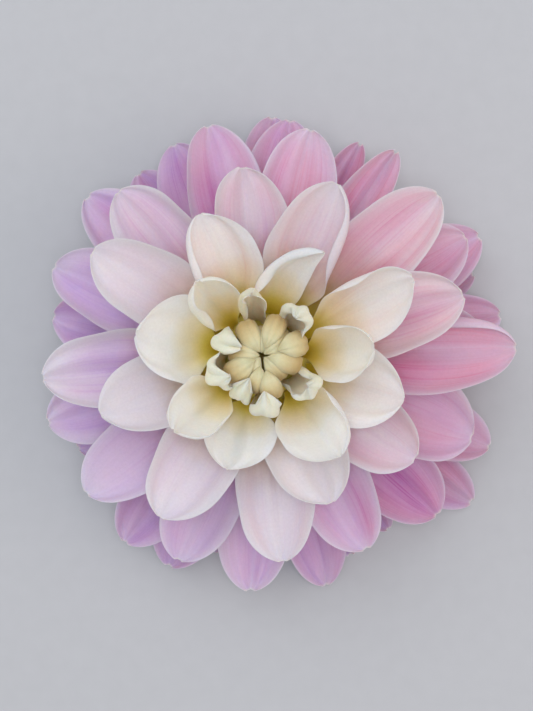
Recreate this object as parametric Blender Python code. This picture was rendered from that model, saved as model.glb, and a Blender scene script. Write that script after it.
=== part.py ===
"""A decorative dahlia bloom, cut off below its bracts and lying face up.

Each ray floret is a solid of its own: a thin cupped blade that narrows to a claw on the domed
receptacle. The florets follow the golden angle, the youngest near the top of the dome and the
oldest at its rim, and the shape of each one is read from its age. All sizes are in millimetres
until the meshes are made, and azimuths are anticlockwise from +X in degrees.
"""
import math

import bmesh
import bpy
import numpy as np
from mathutils import Vector

MM = 0.001

# The receptacle, and the order of the florets on it
GOLDEN_ANGLE = 137.508
FIRST_AZIMUTH = 136.0        # floret 0, the first that has opened
FIRST_AGE = 20               # its place in the order, counted from the closed centre
FLORETS_ON_DOME = 74
DOME_RADIUS = 12.5
DOME_HEIGHT = 9.0
DOME_CENTRE_Z = 21.0
DOME_RIM_ANGLE = 104.0       # from the top of the dome to its last floret, degrees
SEAT_GAP = 0.75              # from the middle of a claw down to the receptacle

# The stub of the stem, the bracts and the closed centre
STEM_RADIUS = 3.5
STEM_CUT = 3.2               # height of the cut, a little above the lowest florets
STEM_SIDES = 28
OUTER_BRACTS = 5
INNER_BRACTS = 8
BRACT_THICKNESS = 0.6
BRACT_POINTS = 8             # points round the ring for each bract
BRACT_ROWS = 5
VALLEY_LIFT = 0.9            # how far the ring rises in the valley between two bracts
CENTRE_LOBES = 8
LOBE_DEPTH = 0.07            # as a share of the closed centre's radius
CENTRE_FOOT = 0.4            # how deep the closed centre's foot sits below the dome's line

# The blade of a floret
FLORET_THICKNESS = 0.6
ACROSS = 7                   # points from margin to margin
ALONG = 8                    # points from claw to tip
CLAW_SHARE = 0.11            # width of the claw as a share of the widest place
WIDEST_AT = 0.62
CLAW_CUP = 77.0              # half angle of the gutter at the claw, degrees
WRAP_RADIUS = 9.0            # the tightest that a blade wraps round the bloom's axis
TABLE_EASE = 3.0             # a blade this near the table bends to lie along it
LOWEST_BLADE = 0.05          # and comes no nearer than this

# How a floret changes as it ages: age, length, the spine's angle above the horizontal at the
# claw, in the middle and at the tip, half width, half angle of the cup, and the share of that
# angle which is left at the tip.
STAGES = np.array([
    (0, 10, 84, 98, 176, 3.6, 75, 0.80),
    (8, 15, 74, 96, 170, 5.0, 80, 0.80),
    (13, 20, 64, 92, 160, 6.6, 84, 0.70),
    (17, 24, 58, 86, 140, 8.0, 88, 0.70),
    (19, 25, 54, 74, 100, 9.0, 84, 0.60),
    (20, 25, 50, 50, 80, 10.6, 72, 0.35),
    (25, 29, 44, 42, 60, 11.0, 62, 0.35),
    (30, 35, 42, 34, 22, 11.0, 48, 0.50),
    (36, 42, 34, 18, 4, 11.0, 38, 0.60),
    (42, 48, 20, 8, -4, 10.8, 32, 0.70),
    (50, 50, 6, -6, -8, 10.6, 28, 0.80),
    (58, 50, -6, -18, -10, 10.2, 26, 0.80),
    (66, 50, -14, -26, -10, 9.6, 26, 0.80),
    (74, 48, -20, -30, -10, 9.0, 26, 0.80),
])

# The rings of florets from the centre outwards, each floret in its order: how far it stands
# off the golden angle, how far it reaches from the axis (None: its stage's own length), and
# its habits where it differs from its stage.
RINGS = (
    ("curled_floret", -5, (
        (-5.5, None, dict(lean=31, length=1.15, width=0.7)),
        (-1, None, dict(lean=12)),
        (11.5, None, dict(lean=14)),
        (-3, None, dict(lean=10)),
        (-1.5, None, dict(lean=2, length=0.86, width=0.86)),
    )),
    ("cup_floret", 0, (
        (-4, 22.0, dict(width=0.82, cup=1.12, right=1.25)),
        (5.5, 25.0, dict(width=0.9, cup=1.05)),
        (0, 25.7, dict(width=0.86, cup=1.05)),
        (-10.5, 27.0, dict(width=0.85, left=1.5, right=0.8, sweep=-13)),
        (2, 28.5, dict()),
        (1.5, 28.8, dict(width=1.08, cup=0.9, right=0.6)),
        (-4, 37.5, dict(right=0.55)),
        (-0.5, 27.0, dict(width=0.98, right=0.4)),
        (-2, 35.0, dict(left=0.8)),
        (4, 34.0, dict(width=1.02, left=0.7, right=0.65, lean=2.5)),
    )),
    ("middle_floret", 10, (
        (-1, 39.2, dict(right=0.6)),
        (3, 42.8, dict()),
        (9, 37.6, dict(width=1.04, left=0.8)),
        (0, 45.8, dict()),
        (6, 48.4, dict()),
        (4.5, 44.5, dict(width=1.06)),
        (0, 44.2, dict()),
        (8, 43.5, dict(width=1.04, right=0.85)),
        (5, 51.7, dict()),
        (-1, 56.0, dict()),
        (10, 49.0, dict()),
        (3, 51.7, dict()),
    )),
    ("outer_floret", 22, (
        (11, 60.3, dict()),
        (5, 53.3, dict()),
        (2, 55.3, dict()),
        (0, 52.9, dict()),
        (-4, 54.5, dict()),
        (7, 56.9, dict()),
        (2, 53.7, dict()),
        (-5, 57.5, dict()),
        (8, 55.0, dict()),
        (4, 54.9, dict()),
        (1, 60.1, dict()),
        (-11, 58.0, dict()),
        (-3, 58.4, dict()),
        (2, 55.0, dict()),
    )),
    ("back_floret", 36, (
        (8, 57.5, dict()),
        (-5, 59.0, dict()),
        (7, 59.2, dict()),
        (-4, 53.1, dict()),
        (-7, 62.4, dict()),
        (-12, 58.4, dict(right=0.5, lean=4)),
        (-8, 57.5, dict()),
        (-5, 61.9, dict()),
        (1, 51.7, dict()),
        (-3, 59.3, dict()),
        (-5, 60.6, dict()),
        (-29, 56.1, dict(right=0.5, lean=4)),
        (-6, 61.7, dict()),
        (-17, 58.0, None),
        (-13, 60.9, dict()),
        (2, 65.5, dict()),
    )),
)

# Colours as linear RGB: stem and bracts, then the florets from the centre outwards
GREEN = (0.16, 0.27, 0.06)
PALE_GREEN = (0.35, 0.42, 0.16)
RING_COLOURS = {
    "curled_floret": (0.80, 0.77, 0.58),
    "cup_floret": (0.80, 0.76, 0.64),
    "middle_floret": (0.78, 0.66, 0.72),
    "outer_floret": (0.66, 0.40, 0.58),
    "back_floret": (0.52, 0.24, 0.45),
}


def clear_scene():
    """Remove every object that is already there."""
    for thing in list(bpy.data.objects):
        bpy.data.objects.remove(thing, do_unlink=True)


def make_material(name, colour, roughness):
    """Give one sub-part its own plain material."""
    material = bpy.data.materials.new(name)
    material.use_nodes = True
    shader = material.node_tree.nodes["Principled BSDF"]
    shader.inputs["Base Color"].default_value = (*colour, 1.0)
    shader.inputs["Roughness"].default_value = roughness
    shader.inputs["Metallic"].default_value = 0.0
    return material


def add_object(name, verts, faces, colour, roughness, parent):
    """Turn millimetre points and faces into a named, smooth object under the bloom's empty."""
    mesh = bpy.data.meshes.new(name)
    mesh.from_pydata([Vector(point) * MM for point in verts], [], faces)
    work = bmesh.new()
    work.from_mesh(mesh)
    bmesh.ops.recalc_face_normals(work, faces=work.faces)
    if work.calc_volume(signed=True) < 0:
        bmesh.ops.reverse_faces(work, faces=work.faces)
    work.to_mesh(mesh)
    work.free()
    mesh.shade_smooth()
    mesh.set_sharp_from_angle(angle=math.radians(40))
    mesh.materials.append(make_material(name, colour, roughness))
    thing = bpy.data.objects.new(name, mesh)
    bpy.context.collection.objects.link(thing)
    thing.parent = parent
    return thing


def dome_height(radius):
    """Height of the dome at a radius."""
    share = min(radius / DOME_RADIUS, 1.0)
    return DOME_CENTRE_Z + DOME_HEIGHT * math.sqrt(1.0 - share * share)


def stage_at(age):
    """Length, three spine angles, half width, cup and tip cup of a floret of this age."""
    return [float(np.interp(age, STAGES[:, 0], STAGES[:, k])) for k in range(1, 8)]


def claw_seat(age):
    """Radius and height of the place on the dome where a floret of this age stands."""
    spread = 1.0 - math.cos(math.radians(DOME_RIM_ANGLE))
    down = math.acos(1.0 - (age + 0.5) / FLORETS_ON_DOME * spread)
    return DOME_RADIUS * math.sin(down), DOME_CENTRE_Z + DOME_HEIGHT * math.cos(down)


def outline(v):
    """Half width of a floret as a share of its widest, from claw (0) to tip (1)."""
    rise = np.clip(v / WIDEST_AT, 0.0, 1.0)
    body = CLAW_SHARE + (1.0 - CLAW_SHARE) * np.sin(rise * math.pi / 2) ** 1.7
    fall = np.clip((v - WIDEST_AT) / (1.0 - WIDEST_AT), 0.0, 1.0)
    tip = np.clip(1.0 - fall ** 2.15, 0.0, 1.0) ** 0.58
    return np.where(v < WIDEST_AT, body, tip)


def spine(age, reach, habit, v):
    """Radius, height and slope of a floret's middle line at the shares v of its length."""
    length, at_claw, at_middle, at_tip = stage_at(age)[:4]
    lean = habit.get("lean", 0.0)
    fine = np.linspace(0.0, 1.0, 101)
    middle = (fine[1:] + fine[:-1]) / 2

    def slope(s):
        return np.radians((at_claw - lean / 2) * (1 - s) ** 2
                          + (at_middle - lean) * 2 * s * (1 - s) + (at_tip - lean) * s * s)

    out = np.concatenate([[0.0], np.cumsum(np.cos(slope(middle)))]) / len(middle)
    up = np.concatenate([[0.0], np.cumsum(np.sin(slope(middle)))]) / len(middle)
    seat_radius, seat_height = claw_seat(age)
    if reach is None:
        length *= habit.get("length", 1.0)
    else:
        length = (reach - seat_radius) / out.max()
    radius = seat_radius + length * np.interp(v, fine, out)
    height = seat_height + length * np.interp(v, fine, up)
    return radius, height, slope(v)


def settle(height):
    """Bend what comes near the table so that it lies along it."""
    near = TABLE_EASE * np.exp(np.minimum(height / TABLE_EASE - 1.0, 0.0))
    return np.where(height < TABLE_EASE, near, height)


def blade_surface(age, azimuth, reach, habit):
    """Grid of points on a floret's upper face, rows from claw to tip, and its outer side."""
    half_width, cup, tip_cup = stage_at(age)[4:]
    v = 1.0 - (1.0 - np.linspace(0.0, 1.0, ALONG)) ** 1.35
    u = np.linspace(-1.0, 1.0, ACROSS)[None, :]
    radius, height, slope = (line[:, None] for line in spine(age, reach, habit, v))
    half = np.maximum(half_width * habit.get("width", 1.0) * outline(v), 0.02)[:, None]
    open_cup = math.radians(cup * habit.get("cup", 1.0))
    claw_cup = math.radians(CLAW_CUP)
    bend = np.interp(v, (0.0, 0.1, 0.45, 0.7, 1.0),
                     (claw_cup, claw_cup, open_cup * 1.05, open_cup, open_cup * tip_cup))[:, None]
    bend = bend * np.where(u > 0, habit.get("left", 1.0), habit.get("right", 1.0))
    side = half / bend * np.sin(bend * u)
    rise = half / bend * (1.0 - np.cos(bend * u))
    wrap = np.maximum(radius, WRAP_RADIUS)
    out = radius - np.sin(slope) * rise - wrap * (1.0 - np.cos(side / wrap))
    along = wrap * np.sin(side / wrap)
    up = settle(height + np.cos(slope) * rise - FLORET_THICKNESS) + FLORET_THICKNESS
    turn = np.radians(azimuth + habit.get("sweep", 0.0) * v ** 2)[:, None]
    x = out * np.cos(turn) - along * np.sin(turn)
    y = out * np.sin(turn) + along * np.cos(turn)
    points = np.stack([x, y, up], axis=-1)
    normal = np.cross(np.gradient(points, axis=1), np.gradient(points, axis=0))
    normal /= np.linalg.norm(normal, axis=-1, keepdims=True)
    return points, normal


def add_floret(name, age, azimuth, reach, habit, colour, parent):
    """Close a floret's blade into a thin solid that ends in a single point at the tip."""
    upper, normal = blade_surface(age, azimuth, reach, habit)
    lower = upper - normal * FLORET_THICKNESS
    lower[..., 2] = np.maximum(lower[..., 2], LOWEST_BLADE)
    centre = ACROSS // 2
    verts = [*upper[:-1].reshape(-1, 3), *lower[:-1].reshape(-1, 3)]
    under = (ALONG - 1) * ACROSS
    verts.append(upper[-1, centre])
    verts.append(lower[-1, centre])
    tip_up, tip_down = 2 * under, 2 * under + 1

    def grid(row, column):
        return row * ACROSS + column

    faces = []
    last = ALONG - 2
    for column in range(ACROSS - 1):
        for row in range(last):
            ring = [grid(row, column), grid(row, column + 1),
                    grid(row + 1, column + 1), grid(row + 1, column)]
            faces.append(ring)
            faces.append([under + corner for corner in reversed(ring)])
        a, b = grid(last, column), grid(last, column + 1)
        faces.append([a, b, tip_up])
        faces.append([under + b, under + a, tip_down])
        faces.append([grid(0, column + 1), grid(0, column),
                      under + grid(0, column), under + grid(0, column + 1)])
    for column, order in ((0, 1), (ACROSS - 1, -1)):
        for row in range(last):
            a, b = grid(row, column), grid(row + 1, column)
            faces.append([a, b, under + b, under + a][::order])
        a = grid(last, column)
        faces.append([a, tip_up, tip_down, under + a][::order])
    return add_object(name, verts, faces, colour, 0.55, parent)


def add_turned(name, profile, sides, colour, roughness, parent, lobes=0, lobe_depth=0.0):
    """Turn a closed-ended profile of (radius, height) about the axis, with shallow lobes."""
    verts = [(0.0, 0.0, profile[0][1])]
    for radius, height in profile[1:-1]:
        for k in range(sides):
            angle = 2 * math.pi * k / sides
            fluted = radius * (1.0 - lobe_depth * (0.5 - 0.5 * math.cos(lobes * angle)))
            verts.append((fluted * math.cos(angle), fluted * math.sin(angle), height))
    verts.append((0.0, 0.0, profile[-1][1]))
    rings = len(profile) - 2
    faces = []
    for k in range(sides):
        after = (k + 1) % sides
        faces.append([0, 1 + after, 1 + k])
        for ring in range(rings - 1):
            low = 1 + ring * sides
            high = low + sides
            faces.append([low + k, low + after, high + after, high + k])
        top = 1 + (rings - 1) * sides
        faces.append([top + k, top + after, len(verts) - 1])
    return add_object(name, verts, faces, colour, roughness, parent)


def add_receptacle(parent):
    """The cut stub, the swelling under the bloom and the dome that carries the florets."""
    profile = [(0.0, STEM_CUT), (STEM_RADIUS, STEM_CUT), (STEM_RADIUS, 8.0),
               (STEM_RADIUS + 0.6, 11.0), (6.4, 13.6), (9.6, 16.4)]
    skin_radius = DOME_RADIUS - SEAT_GAP
    skin_height = DOME_HEIGHT - SEAT_GAP
    for degrees in (104, 92, 78, 64, 50, 36, 20, 8):
        down = math.radians(degrees)
        profile.append((skin_radius * math.sin(down),
                        DOME_CENTRE_Z + skin_height * math.cos(down)))
    profile.append((0.0, DOME_CENTRE_Z + skin_height))
    add_turned("stem_and_receptacle", profile, STEM_SIDES, GREEN, 0.6, parent)


def add_closed_centre(parent):
    """The button of unopened florets on top of the dome."""
    profile = [(radius, dome_height(radius) - CENTRE_FOOT) for radius in (0.0, 3.5, 6.0)]
    profile += [(7.0, 31.0), (8.2, 35.5), (8.5, 39.5),
                (7.8, 43.0), (5.0, 45.3), (1.5, 45.2), (0.0, 44.4)]
    add_turned("closed_centre", profile, 4 * CENTRE_LOBES, RING_COLOURS["curled_floret"], 0.55,
               parent, lobes=CENTRE_LOBES, lobe_depth=LOBE_DEPTH)


def add_bract_ring(name, count, profile, valley, turn, colour, parent):
    """A ring of bracts joined at the foot: a thin collar whose rim runs out into lobes.

    The profile is the middle line of a bract as (radius, height); between two bracts the
    collar ends at the share of it that valley gives.
    """
    around = count * BRACT_POINTS
    rows = BRACT_ROWS
    line = np.array(profile)
    share = np.linspace(0.0, 1.0, len(line))
    upper = []
    lower = []
    for row in range(rows):
        for k in range(around):
            angle = 2 * math.pi * k / around
            lobe = abs(math.cos(angle * count / 2)) ** 0.7
            s = row / (rows - 1) * (valley + (1.0 - valley) * lobe)
            radius = float(np.interp(s, share, line[:, 0]))
            height = float(np.interp(s, share, line[:, 1]))
            height += VALLEY_LIFT * s * (1.0 - lobe)
            away = angle + math.radians(turn)
            spot = (radius * math.cos(away), radius * math.sin(away))
            upper.append((*spot, height))
            lower.append((*spot, height - BRACT_THICKNESS))
    under = rows * around
    faces = []
    for k in range(around):
        after = (k + 1) % around
        for row in range(rows - 1):
            low, high = row * around, (row + 1) * around
            ring = [low + k, high + k, high + after, low + after]
            faces.append(ring)
            faces.append([under + corner for corner in reversed(ring)])
        rim = (rows - 1) * around
        faces.append([rim + k, under + rim + k, under + rim + after, rim + after])
        faces.append([k, after, under + after, under + k])
    add_object(name, upper + lower, faces, colour, 0.6, parent)


def add_bracts(parent):
    """The membranous inner bracts, close under the florets, and the green outer ones."""
    add_bract_ring("inner_bracts", INNER_BRACTS, ((10.6, 16.4), (14.0, 15.2), (20.0, 11.6)),
                   0.35, 10.0, PALE_GREEN, parent)
    add_bract_ring("outer_bracts", OUTER_BRACTS, ((8.6, 14.6), (13.0, 11.5), (23.0, 4.0)),
                   0.22, 30.0, GREEN, parent)


def add_florets(parent):
    """Every ring of open florets, each floret a named solid."""
    for ring, first, florets in RINGS:
        count = 0
        for step, (turn, reach, habit) in enumerate(florets):
            if habit is None:
                continue
            count += 1
            order = first + step
            azimuth = FIRST_AZIMUTH - order * GOLDEN_ANGLE + turn
            add_floret(f"{ring}_{count}", order + FIRST_AGE, azimuth, reach, habit,
                       RING_COLOURS[ring], parent)


def centre_on_table(parent):
    """Move the bloom so that its box stands centred on the origin with its lowest point at 0."""
    corners = [np.array(vertex.co) for thing in parent.children for vertex in thing.data.vertices]
    low = np.min(corners, axis=0)
    high = np.max(corners, axis=0)
    parent.location = (-(low[0] + high[0]) / 2, -(low[1] + high[1]) / 2, -low[2])


def main():
    clear_scene()
    bloom = bpy.data.objects.new("bloom", None)
    bpy.context.collection.objects.link(bloom)
    add_receptacle(bloom)
    add_bracts(bloom)
    add_closed_centre(bloom)
    add_florets(bloom)
    centre_on_table(bloom)


main()
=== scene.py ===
# %% [markdown]
# # A dahlia bloom, lying face up
#
# A dahlia looks like one flower, but it is a whole head of them: every "petal" is a ray
# floret, a small flower of its own whose blade narrows to a claw on a domed receptacle. The
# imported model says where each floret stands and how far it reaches. This script gives the
# florets their fine shape and their colour. Because a head grows by one rule, the florets are
# drawn by one rule too: a table of growth stages is read at each floret's age, and a few
# habits, such as a rolled margin, make each one itself.

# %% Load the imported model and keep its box
import math

import bpy
import numpy as np
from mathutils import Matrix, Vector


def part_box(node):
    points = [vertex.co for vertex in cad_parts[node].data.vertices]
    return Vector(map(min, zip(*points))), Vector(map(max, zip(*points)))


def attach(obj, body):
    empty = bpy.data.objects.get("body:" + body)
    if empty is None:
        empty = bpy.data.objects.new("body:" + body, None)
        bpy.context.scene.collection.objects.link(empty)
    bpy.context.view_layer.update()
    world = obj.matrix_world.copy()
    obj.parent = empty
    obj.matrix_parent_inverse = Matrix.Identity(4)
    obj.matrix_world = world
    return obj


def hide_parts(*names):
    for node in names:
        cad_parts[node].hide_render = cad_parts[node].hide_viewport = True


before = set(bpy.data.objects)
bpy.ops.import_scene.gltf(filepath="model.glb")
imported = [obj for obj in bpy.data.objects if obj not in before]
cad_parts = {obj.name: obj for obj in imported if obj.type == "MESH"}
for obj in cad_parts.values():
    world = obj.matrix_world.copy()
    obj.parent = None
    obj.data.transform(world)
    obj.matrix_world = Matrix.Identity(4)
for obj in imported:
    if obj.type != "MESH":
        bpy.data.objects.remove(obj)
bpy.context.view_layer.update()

MM = 0.001
stem_low, stem_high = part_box("stem_and_receptacle")
STEM_CUT = 3.2                               # mm, the height of the cut on the growth's scale
AXIS_X = (stem_low.x + stem_high.x) / 2      # the bloom's own axis, in metres
AXIS_Y = (stem_low.y + stem_high.y) / 2
FOOT_Z = stem_low.z - STEM_CUT * MM
print("the bloom's axis stands at", round(AXIS_X / MM, 2), round(AXIS_Y / MM, 2), "mm")

# %% [markdown]
# ## The order of the florets
#
# New florets form at the tip of the head, each one 137.5 degrees round from the last, and are
# pushed outwards by the next. So a floret's number gives both its direction and its place on
# the dome. Drawing them by hand would take days and would lose the spirals that the eye
# looks for; the golden angle gives them for nothing.

# %% The dome, and where each claw stands on it
GOLDEN_ANGLE = 137.508
FIRST_AZIMUTH = 136.0        # floret 0, the first that has opened, anticlockwise from +X
FIRST_AGE = 20               # its place in the order, counted from the closed centre
FLORETS_ON_DOME = 74
DOME_RADIUS = 12.5
DOME_HEIGHT = 9.0
DOME_CENTRE_Z = 21.0
DOME_RIM_ANGLE = 104.0       # from the top of the dome to its last floret


def claw_seat(age):
    """Radius and height of the place on the dome where a floret of this age stands."""
    spread = 1.0 - math.cos(math.radians(DOME_RIM_ANGLE))
    down = math.acos(1.0 - (age + 0.5) / FLORETS_ON_DOME * spread)
    return DOME_RADIUS * math.sin(down), DOME_CENTRE_Z + DOME_HEIGHT * math.cos(down)


# %% [markdown]
# ## How a floret changes with age
#
# The youngest florets are closed hoods bent over the centre, those that have just opened are
# deep cups, and the oldest lie back almost flat and a little hollow. One row of the table is
# one stage, and np.interp gives everything between the rows.

# %% The stages of growth
# age, usual length, the spine's angle above the horizontal at the claw, in the middle and at
# the tip, half width, half angle of the cup, and the share of that angle left at the tip
STAGES = np.array([
    (0, 10, 84, 98, 176, 3.6, 75, 0.80),
    (8, 15, 74, 96, 170, 5.0, 80, 0.80),
    (13, 20, 64, 92, 160, 6.6, 84, 0.70),
    (17, 24, 58, 86, 140, 8.0, 88, 0.70),
    (19, 25, 54, 74, 100, 9.0, 84, 0.60),
    (20, 25, 50, 50, 80, 10.6, 72, 0.35),
    (25, 29, 44, 42, 60, 11.0, 62, 0.35),
    (30, 35, 42, 34, 22, 11.0, 48, 0.50),
    (36, 42, 34, 18, 4, 11.0, 38, 0.60),
    (42, 48, 20, 8, -4, 10.8, 32, 0.70),
    (50, 50, 6, -6, -8, 10.6, 28, 0.80),
    (58, 50, -6, -18, -10, 10.2, 26, 0.80),
    (66, 50, -14, -26, -10, 9.6, 26, 0.80),
    (74, 48, -20, -30, -10, 9.0, 26, 0.80),
])
CLAW_SHARE = 0.14            # width of the claw as a share of the widest place
WIDEST_AT = 0.62             # share of the length, from the claw
TIP_SHARE = 0.08             # width of the blunt tip, as a share again


def stage_at(age):
    """Length, three spine angles, half width, cup and tip cup of a floret of this age."""
    return [float(np.interp(age, STAGES[:, 0], STAGES[:, k])) for k in range(1, 8)]


def outline(v, habit):
    """Half width of a floret as a share of its widest, from claw (0) to tip (1)."""
    widest = habit.get("widest", WIDEST_AT)
    point = habit.get("point", 0.0)              # 0 for a blunt tip, 1 for a sharp one
    rise = np.clip(v / widest, 0.0, 1.0)
    claw = habit.get("claw", CLAW_SHARE)         # a claw may be broader
    body = claw + (1.0 - claw) * np.sin(rise * math.pi / 2) ** habit.get("flare", 1.7)
    fall = np.clip((v - widest) / (1.0 - widest), 0.0, 1.0)
    tip = np.clip(1.0 - fall ** (2.15 - 0.5 * point), 0.0, 1.0) ** (0.58 + 0.35 * point)
    return np.where(v < widest, body, np.maximum(tip, TIP_SHARE * (1.0 - 0.7 * point)))


print("an opening floret is", stage_at(FIRST_AGE)[0], "mm long, an old one", stage_at(58)[0])

# %% [markdown]
# ## The spine and the cross-section
#
# A blade is a curve swept by another curve. The spine leaves the dome at one angle, passes
# through a second and ends at a third, which is enough for a hood, a cup and a blade that
# falls back. The cross-section is an arc whose margins may roll further in, or out. Both are
# summed from their slopes, so a blade keeps its true length and width however it bends.

# %% Sweep a blade
SPINE_STEPS = 160
SECTION_STEPS = 20
ROLL_FROM = 0.5              # share of the half width where a margin starts to roll
CLAW_CUP = 77.0              # degrees, half angle of the cup at the claw
CUP_PLACES = (0.0, 0.1, 0.45, 0.7, 1.0)      # shares of the length where the cup is given
WRAP_RADIUS = 9.0            # mm, a blade curves round the bloom's axis, never tighter than this
BLADE_THICKNESS = 0.42       # mm
TABLE = -FOOT_Z / MM         # mm, the table on the growth's scale
TABLE_EASE = 3.0             # mm, a blade this near the table bends to lie along it


def ease(low, high, x):
    """0 below low, 1 above high, and smooth between them."""
    t = np.clip((x - low) / (high - low), 0.0, 1.0)
    return t * t * (3.0 - 2.0 * t)


def spine(age, reach, habit, v):
    """Radius, height and slope of a floret's middle line at the shares v of its length.

    The slopes come from its stage, and the length from how far it reaches.
    """
    at_claw, at_middle, at_tip = stage_at(age)[1:4]
    lean = habit.get("lean", 0.0)
    fine = np.linspace(0.0, 1.0, SPINE_STEPS + 1)
    middle = (fine[1:] + fine[:-1]) / 2

    def slope(s):
        return np.radians((at_claw - lean / 2) * (1 - s) ** 2
                          + (at_middle - lean) * 2 * s * (1 - s) + (at_tip - lean) * s * s)

    out = np.concatenate([[0.0], np.cumsum(np.cos(slope(middle)))]) / SPINE_STEPS
    up = np.concatenate([[0.0], np.cumsum(np.sin(slope(middle)))]) / SPINE_STEPS
    seat_radius, seat_height = claw_seat(age)
    length = (reach - seat_radius) / out.max()
    return (seat_radius + length * np.interp(v, fine, out),
            seat_height + length * np.interp(v, fine, up), slope(v))


def hood_spine(age, habit, v):
    """The same for a hood, whose middle line is drawn through a belly and a crown to its tip."""
    share = np.linspace(0.0, 1.0, SPINE_STEPS + 1)[:, None]
    seat, belly, crown, tip = (np.array(spot, float) for spot in (
        habit.get("seat", claw_seat(age)), habit["belly"], habit["crown"], habit["tip"]))
    line = (seat * (1 - share) ** 3 + belly * 3 * share * (1 - share) ** 2
            + crown * 3 * share ** 2 * (1 - share) + tip * share ** 3)
    steps = np.diff(line, axis=0)
    run = np.concatenate([[0.0], np.cumsum(np.linalg.norm(steps, axis=1))])
    angle = np.unwrap(np.arctan2(steps[:, 1], steps[:, 0]))
    middles = (run[1:] + run[:-1]) / 2
    at = v * run[-1]
    return (np.interp(at, run, line[:, 0]), np.interp(at, run, line[:, 1]),
            np.interp(at, middles, angle))


def section(u, half, bend, roll):
    """Sideways and inward reach of a point u across a cup that turns by bend, then by roll."""
    steps = (np.arange(SECTION_STEPS) + 0.5) / SECTION_STEPS
    across = np.abs(u)[:, None] * steps
    angle = bend[:, None] * across + roll[:, None] * ease(ROLL_FROM, 1.0, across)
    side = half * u * np.cos(angle).mean(axis=1)
    rise = half * np.abs(u) * np.sin(angle).mean(axis=1)
    return side, rise


def settle(height):
    """Bend what comes near the table so that it lies along it."""
    above = height - TABLE
    near = TABLE_EASE * np.exp(np.minimum(above / TABLE_EASE - 1.0, 0.0))
    return TABLE + np.where(above < TABLE_EASE, near, above)


def blade(age, azimuth, reach, habit, u, v):
    """Points in mm on the inner face: u from the right margin (-1) to the left (1), v outwards."""
    half_width, cup, tip_cup = stage_at(age)[4:]
    if "tip" in habit:
        radius, height, slope = hood_spine(age, habit, v)
    else:
        radius, height, slope = spine(age, reach, habit, v)
    half = half_width * habit.get("width", 1.0) * outline(v, habit)
    open_cup = math.radians(cup * habit.get("cup", 1.0))
    claw_cup = math.radians(habit.get("claw_cup", CLAW_CUP))
    bend = np.interp(v, CUP_PLACES, (claw_cup, claw_cup, open_cup * 1.05, open_cup,
                                     open_cup * tip_cup))
    bend = bend * np.where(u > 0, habit.get("left", 1.0), habit.get("right", 1.0))
    roll = np.radians(np.where(u > 0, habit.get("roll_left", 0.0), habit.get("roll_right", 0.0)))
    roll = roll * ease(0.3, 0.65, v) * (1.0 - habit.get("roll_ends", 1.0) * ease(0.7, 1.0, v))
    side, rise = section(u, half, bend, roll)
    twist = np.radians(habit.get("twist", 0.0)) * v ** 2
    side, rise = (side * np.cos(twist) - rise * np.sin(twist),
                  side * np.sin(twist) + rise * np.cos(twist))
    wrap = np.maximum(radius, WRAP_RADIUS)
    out = radius - np.sin(slope) * rise - wrap * (1.0 - np.cos(side / wrap))
    along = wrap * np.sin(side / wrap)
    up = settle(height + np.cos(slope) * rise - BLADE_THICKNESS) + BLADE_THICKNESS
    turn = np.radians(azimuth + habit.get("sweep", 0.0) * v ** 2)
    x = out * np.cos(turn) - along * np.sin(turn)
    y = out * np.sin(turn) + along * np.cos(turn)
    return np.stack([x, y, up], axis=-1)


tip_place = blade(FIRST_AGE + 10, 0.0, 40.0, {}, np.zeros(1), np.ones(1))[0]
print("a floret that reaches 40 mm has its tip", round(tip_place[2] - TABLE), "mm over the table")

# %% [markdown]
# ## Folds, veins and a notched tip
#
# A petal is a thin wet skin over a fan of veins. It keeps a soft crease along its middle and a
# shallow furrow on each side of it, its margin waves a little, and its tip is notched between
# tiny teeth. These are what turn a smooth spoon into a petal, so they are in the mesh and not
# only in the material.

# %% Lay the folds on a blade
PROBE = 0.004                # step for measuring the blade's own directions
NOTCH_DEPTH = 0.28           # mm, between the teeth of the tip
NOTCH_WIDTH = 0.075          # share of the half width
CREASE_DEPTH = 0.9           # mm, along the middle
CREASE_WIDTH = 0.11          # share of the half width, as the furrows' is
FURROW_DEPTH = 0.72          # mm, beside it
FURROW_WIDTH = 0.13
FURROW_AT = 0.42             # share of the half width, and a little further out by chance
SWELL_HEIGHT = 0.45          # mm, of the broad folds between them
SWELLS = 1.35                # in the half width
WAVE_HEIGHT = 0.55           # mm, of the margin
WAVES = 1.4                  # in the length
KEEL_DEPTH = 2.2             # mm, of the valley that the two halves make near the tip
CRUMPLE_DEPTH = 0.5          # mm, of the sharp folds in a floret that was packed in the bud
FULL_HALF_WIDTH = 11.0       # mm, the half width at which the folds are as deep as that
FOLD_SEED = 1000             # each petal draws its folds from its own number added to this


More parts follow.
